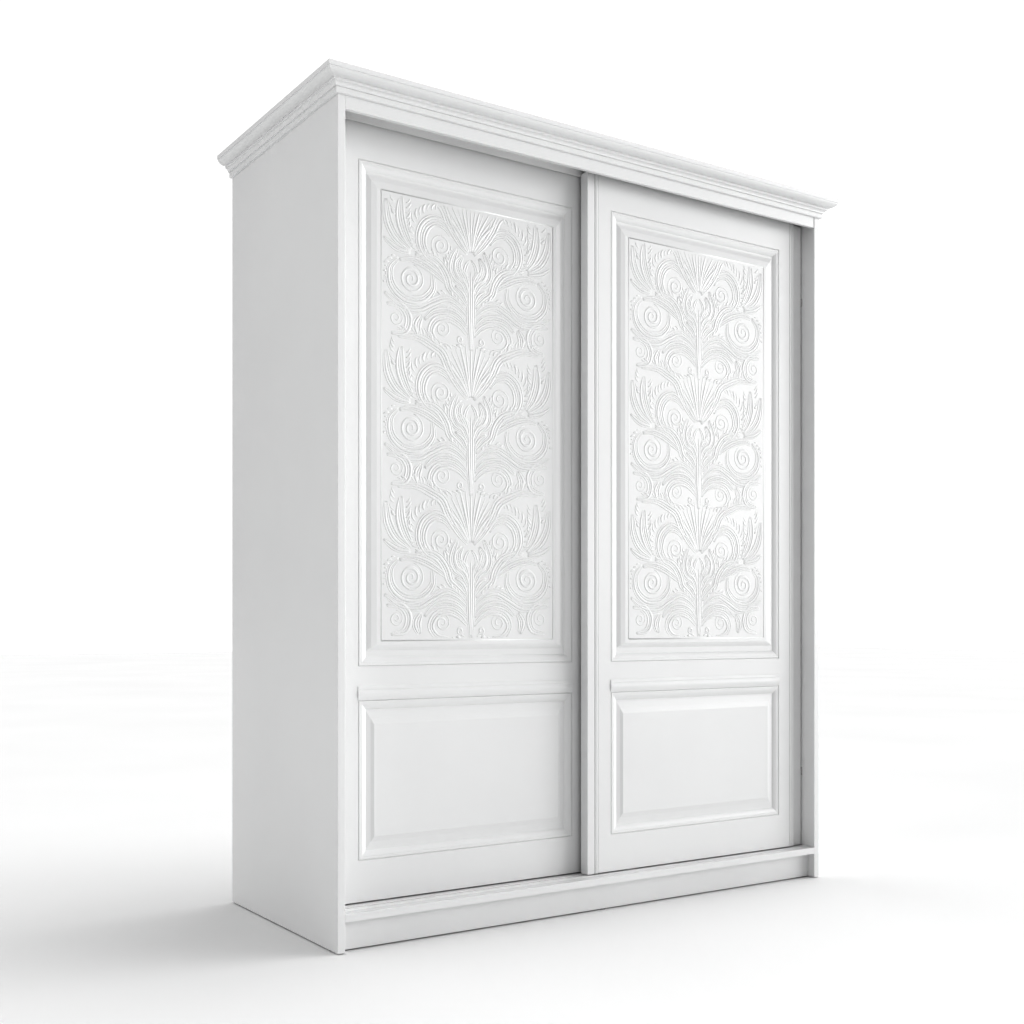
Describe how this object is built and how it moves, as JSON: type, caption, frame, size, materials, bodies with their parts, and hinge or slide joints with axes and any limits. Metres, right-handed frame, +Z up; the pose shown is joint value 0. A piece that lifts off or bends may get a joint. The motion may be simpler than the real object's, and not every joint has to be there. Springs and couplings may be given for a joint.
{
  "type": "sliding door wardrobe",
  "caption": "Free-standing sliding-door wardrobe with carved raised-panel doors on rollers, moulded cornice, recessed plinth, shelves and a hanging rail.",
  "frame": {"origin": "on the floor under the middle of the overall box", "axes": "+X to the right along the front, +Y from the front to the back, +Z up; the doors face -Y"},
  "size_m": [1.652, 0.691, 2.008],
  "materials": {
    "white_lacquer": "satin white lacquer on board and mouldings",
    "white_laminate": "matt white laminate on board",
    "track_metal": "satin white powder coat on extruded aluminium",
    "rail_chrome": "polished",
    "zinc_steel": "bright zinc plate",
    "nylon": "natural nylon",
    "glide_plastic": "grey plastic",
    "buffer_rubber": "soft grey elastomer",
    "seal_bristle": "grey brush pile"
  },
  "bodies": {
    "carcass": {"back_joint_strip": "white_laminate", "back_panel_left": "white_laminate", "back_panel_right": "white_laminate", "bottom_panel": "white_lacquer", "bottom_track": "track_metal", "carcass_angles": "zinc_steel", "centre_partition": "white_laminate", "cornice_front": "white_lacquer", "cornice_left": "white_lacquer", "cornice_right": "white_lacquer", "end_buffers": "buffer_rubber", "floor_glides": "glide_plastic", "hanging_rail": "rail_chrome", "left_shelf_1": "white_laminate", "left_shelf_2": "white_laminate", "left_shelf_3": "white_laminate", "left_side_panel": "white_lacquer", "pelmet": "white_lacquer", "plinth_back": "white_lacquer", "plinth_front": "white_lacquer", "rail_brackets": "zinc_steel", "right_side_panel": "white_lacquer", "right_top_shelf": "white_laminate", "shelf_pins": "zinc_steel", "top_panel": "white_lacquer", "top_track": "track_metal"},
    "front_door": {"front_door_carved_panel": "white_lacquer", "front_door_dado_moulding": "white_lacquer", "front_door_edge_seal": "seal_bristle", "front_door_finger_pull": "white_lacquer", "front_door_guide_brackets": "zinc_steel", "front_door_leaf": "white_lacquer", "front_door_left_profile": "white_lacquer", "front_door_lower_moulding": "white_lacquer", "front_door_lower_panel": "white_lacquer", "front_door_overlap_seal": "seal_bristle", "front_door_right_profile": "white_lacquer", "front_door_roller_housings": "zinc_steel", "front_door_upper_moulding": "white_lacquer"},
    "rear_door": {"rear_door_carved_panel": "white_lacquer", "rear_door_dado_moulding": "white_lacquer", "rear_door_edge_seal": "seal_bristle", "rear_door_finger_pull": "white_lacquer", "rear_door_guide_brackets": "zinc_steel", "rear_door_leaf": "white_lacquer", "rear_door_left_profile": "white_lacquer", "rear_door_lower_moulding": "white_lacquer", "rear_door_lower_panel": "white_lacquer", "rear_door_right_profile": "white_lacquer", "rear_door_roller_housings": "zinc_steel", "rear_door_upper_moulding": "white_lacquer"},
    "front_wheel_left": {"front_door_wheel_left": "nylon"},
    "front_guide_wheel_left": {"front_door_guide_wheel_left": "nylon"},
    "front_wheel_right": {"front_door_wheel_right": "nylon"},
    "front_guide_wheel_right": {"front_door_guide_wheel_right": "nylon"},
    "rear_wheel_left": {"rear_door_wheel_left": "nylon"},
    "rear_guide_wheel_left": {"rear_door_guide_wheel_left": "nylon"},
    "rear_wheel_right": {"rear_door_wheel_right": "nylon"},
    "rear_guide_wheel_right": {"rear_door_guide_wheel_right": "nylon"}
  },
  "joints": [
    {"name": "front_door_slide", "type": "slide", "parent": "carcass", "child": "front_door", "axis": [-1, 0, 0], "range_m": [0, 0.718]},
    {"name": "rear_door_slide", "type": "slide", "parent": "carcass", "child": "rear_door", "axis": [1, 0, 0], "range_m": [0, 0.718]},
    {"name": "front_wheel_left_spin", "type": "hinge", "parent": "front_door", "child": "front_wheel_left", "pos_m": [0.105, -0.2505, 0.097], "axis": [0, 1, 0], "continuous": true},
    {"name": "front_guide_wheel_left_spin", "type": "hinge", "parent": "front_door", "child": "front_guide_wheel_left", "pos_m": [0.105, -0.2505, 1.947], "axis": [0, 0, 1], "continuous": true},
    {"name": "front_wheel_right_spin", "type": "hinge", "parent": "front_door", "child": "front_wheel_right", "pos_m": [0.613, -0.2505, 0.097], "axis": [0, 1, 0], "continuous": true},
    {"name": "front_guide_wheel_right_spin", "type": "hinge", "parent": "front_door", "child": "front_guide_wheel_right", "pos_m": [0.613, -0.2505, 1.947], "axis": [0, 0, 1], "continuous": true},
    {"name": "rear_wheel_left_spin", "type": "hinge", "parent": "rear_door", "child": "rear_wheel_left", "pos_m": [-0.613, -0.2105, 0.097], "axis": [0, 1, 0], "continuous": true},
    {"name": "rear_guide_wheel_left_spin", "type": "hinge", "parent": "rear_door", "child": "rear_guide_wheel_left", "pos_m": [-0.613, -0.2105, 1.947], "axis": [0, 0, 1], "continuous": true},
    {"name": "rear_wheel_right_spin", "type": "hinge", "parent": "rear_door", "child": "rear_wheel_right", "pos_m": [-0.105, -0.2105, 0.097], "axis": [0, 1, 0], "continuous": true},
    {"name": "rear_guide_wheel_right_spin", "type": "hinge", "parent": "rear_door", "child": "rear_guide_wheel_right", "pos_m": [-0.105, -0.2105, 1.947], "axis": [0, 0, 1], "continuous": true}
  ],
  "couplings": [
    {"joint": "front_wheel_left_spin", "follows": "front_door_slide", "rad_per_m": -83.333},
    {"joint": "front_guide_wheel_left_spin", "follows": "front_door_slide", "rad_per_m": -53.476},
    {"joint": "front_wheel_right_spin", "follows": "front_door_slide", "rad_per_m": -83.333},
    {"joint": "front_guide_wheel_right_spin", "follows": "front_door_slide", "rad_per_m": -53.476},
    {"joint": "rear_wheel_left_spin", "follows": "rear_door_slide", "rad_per_m": 83.333},
    {"joint": "rear_guide_wheel_left_spin", "follows": "rear_door_slide", "rad_per_m": 53.476},
    {"joint": "rear_wheel_right_spin", "follows": "rear_door_slide", "rad_per_m": 83.333},
    {"joint": "rear_guide_wheel_right_spin", "follows": "rear_door_slide", "rad_per_m": 53.476}
  ]
}
